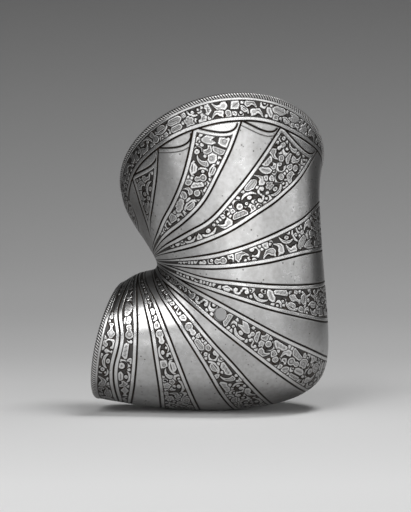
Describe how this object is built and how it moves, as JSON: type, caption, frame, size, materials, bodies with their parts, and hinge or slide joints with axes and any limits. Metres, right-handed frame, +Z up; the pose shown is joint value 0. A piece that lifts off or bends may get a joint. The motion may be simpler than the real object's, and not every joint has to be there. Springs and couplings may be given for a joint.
{
  "type": "pasguard",
  "caption": "Bent steel elbow plate for a jouster's left arm, open at the back, with wired turned edges and a hole for its fixing screw.",
  "frame": {"origin": "middle of the bounding box, at its lowest level", "axes": "+Z up along the upper arm, +X to the outer corner of the elbow, +Y from the outer face towards the arm and the open back"},
  "size_m": [0.1804, 0.1078, 0.2449],
  "materials": {
    "plate_steel": "polished plain steel, with etched bands on a dark ground",
    "wire_iron": "plain drawn iron wire, hidden in the turned edges"
  },
  "bodies": {
    "root": {"elbow_plate": "plate_steel", "upper_edge_wire": "wire_iron", "rear_edge_wire": "wire_iron", "lower_edge_wire": "wire_iron", "inner_edge_wire": "wire_iron"}
  },
  "joints": []
}
